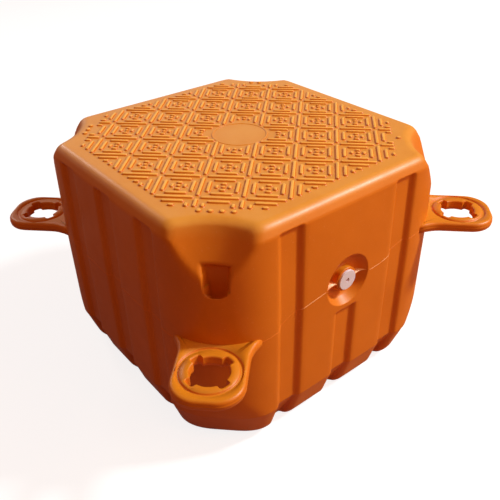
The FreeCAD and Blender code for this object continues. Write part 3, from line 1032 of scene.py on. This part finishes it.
def flash_plastic():
    """Thin flash, paler in patches near the vent."""
    material, tree, shader = new_material("flash_polyethylene")
    place = object_place(tree)
    away = tree.nodes.new("ShaderNodeVectorMath")
    away.operation = "DISTANCE"
    tree.links.new(place, away.inputs[0])
    away.inputs[1].default_value = (0, -PARTING_WIDTH / 2000, PARTING_HEIGHT / 1000)
    # The flash is paler in patches the nearer it lies to the vent.
    near_vent = remap(tree, away.outputs["Value"], *NEAR_VENT_LEVELS, 1, 0)
    patches = remap(tree, noise(tree, place, 45, 3), 0.38, 0.5, 0.2, 1)
    pale = calculated(tree, "MULTIPLY", near_vent, patches)
    tree.links.new(mixed(tree, pale, FLASH_ORANGE, PALE_FLASH), shader.inputs["Base Color"])
    gloss = remap(tree, noise(tree, place, 200, 2), 0.3, 0.7, 0.35, 0.5)
    tree.links.new(gloss, shader.inputs["Roughness"])
    return material


def plug_plastic():
    """Smooth off-white plastic of the plug, a little soiled."""
    material, tree, shader = new_material("plug_polypropylene")
    place = object_place(tree)
    soil = remap(tree, noise(tree, place, 60, 3), 0.4, 0.75, 0, 0.3)
    tree.links.new(mixed(tree, soil, PLUG_WHITE, PLUG_SOIL), shader.inputs["Base Color"])
    gloss = remap(tree, noise(tree, place, 90, 2), 0.3, 0.7, 0.28, 0.4)
    tree.links.new(gloss, shader.inputs["Roughness"])
    tree.links.new(bumped(tree, noise(tree, place, 500, 2), 0.1, 0.0003), shader.inputs["Normal"])
    return material


def vent_plug(material):
    """Gives the plug, which is the CAD's own node, its material."""
    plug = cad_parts["vent_plug"]
    plug.data.materials.clear()
    plug.data.materials.append(material)


def seen_directly(tree, in_gloss):
    """1 for what the camera or a see-through surface shows, in_gloss for a gloss, 0 for light."""
    path = tree.nodes.new("ShaderNodeLightPath")
    gloss = calculated(tree, "MULTIPLY", path.outputs["Is Glossy Ray"], in_gloss)
    seen = calculated(tree, "MAXIMUM", path.outputs["Is Camera Ray"], path.outputs["Is Transmission Ray"])
    return calculated(tree, "MAXIMUM", seen, gloss)


def world_light():
    """White where it is seen, a soft backdrop behind the float in gloss, and a dim warm light."""
    world = bpy.data.worlds.new("studio")
    bpy.context.scene.world = world
    world.use_nodes = True
    tree = world.node_tree
    background = tree.nodes["Background"]
    way = split_vector(tree, tree.nodes.new("ShaderNodeTexCoord").outputs["Generated"])
    upwards = remap(tree, way["Z"], 0.1, 0.4, 0.35, 0.8)
    backwards = remap(tree, way["Y"], 0.55, 0.85, 0.25, 1.2)
    seen = seen_directly(tree, calculated(tree, "MULTIPLY", upwards, backwards))
    tree.links.new(remap(tree, seen, 0, 1, WORLD_STRENGTH, 1), background.inputs["Strength"])
    tree.links.new(mixed(tree, seen, WORLD_WARMTH, WHITE), background.inputs["Color"])


def studio_floor():
    """Plain pale floor under the float."""
    material, tree, shader = new_material("studio_floor")
    seen = seen_directly(tree, FLOOR_IN_GLOSS)
    tree.links.new(mixed(tree, seen, FLOOR_WARMTH, FLOOR_GREY), shader.inputs["Base Color"])
    tree.links.new(remap(tree, seen, 0, 1, 0, FLOOR_GLOW), shader.inputs["Emission Strength"])
    shader.inputs["Emission Color"].default_value = (*WHITE, 1)
    shader.inputs["Roughness"].default_value = 0.9
    shader.inputs["Specular IOR Level"].default_value = 0.0
    mesh = bpy.data.meshes.new("studio_floor")
    corners = [(x * FLOOR_REACH, y * FLOOR_REACH, 0) for x, y in ((-1, -1), (1, -1), (1, 1), (-1, 1))]
    mesh.from_pydata(corners, [], [(0, 1, 2, 3)])
    mesh.materials.append(material)
    floor = bpy.data.objects.new("studio_floor", mesh)
    bpy.context.scene.collection.objects.link(floor)


def area_lamp(name, azimuth, elevation, distance, size, power, tint=WHITE):
    """Square lamp that looks at the middle of the float."""
    lamp = bpy.data.lights.new(name, "AREA")
    lamp.size = size
    lamp.energy = power
    lamp.color = tint
    swing = math.radians(azimuth)
    lift = math.radians(elevation)
    away = Vector((math.cos(swing) * math.cos(lift), math.sin(swing) * math.cos(lift), math.sin(lift)))
    piece = bpy.data.objects.new(name, lamp)
    piece.location = Vector(LAMP_AIM) + away * distance
    piece.rotation_euler = (-away).to_track_quat("-Z", "Y").to_euler()
    bpy.context.scene.collection.objects.link(piece)


def lights():
    """Key from the right, broad soft lamps above, in front and behind, and a small one for the rim."""
    area_lamp("key", azimuth=-33.6, elevation=42, distance=6.0, size=0.6, power=278)
    area_lamp("top", azimuth=200, elevation=65, distance=2.6, size=2.2, power=8, tint=TOP_TINT)
    area_lamp("front", azimuth=-60, elevation=25, distance=3.0, size=2.0, power=30, tint=FRONT_TINT)
    area_lamp("back", azimuth=50, elevation=20, distance=3.0, size=2.0, power=3)
    area_lamp("rim", azimuth=94, elevation=31, distance=3.0, size=0.35, power=8)


def camera():
    """Camera at the photograph's viewpoint."""
    data = bpy.data.cameras.new("camera")
    data.lens = CAMERA_LENS
    data.sensor_width = SENSOR_WIDTH
    piece = bpy.data.objects.new("camera", data)
    piece.location = CAMERA_PLACE
    piece.rotation_euler = Euler([math.radians(turn) for turn in CAMERA_TURN], "XYZ")
    bpy.context.scene.collection.objects.link(piece)
    bpy.context.scene.camera = piece


camera()
world_light()
studio_floor()
lights()
orange = orange_plastic()
float_shell(orange)
link_lugs(orange)
deck_tread(orange)
parting_flash(flash_plastic())
vent_plug(plug_plastic())
bpy.context.scene.view_settings.view_transform = "Standard"
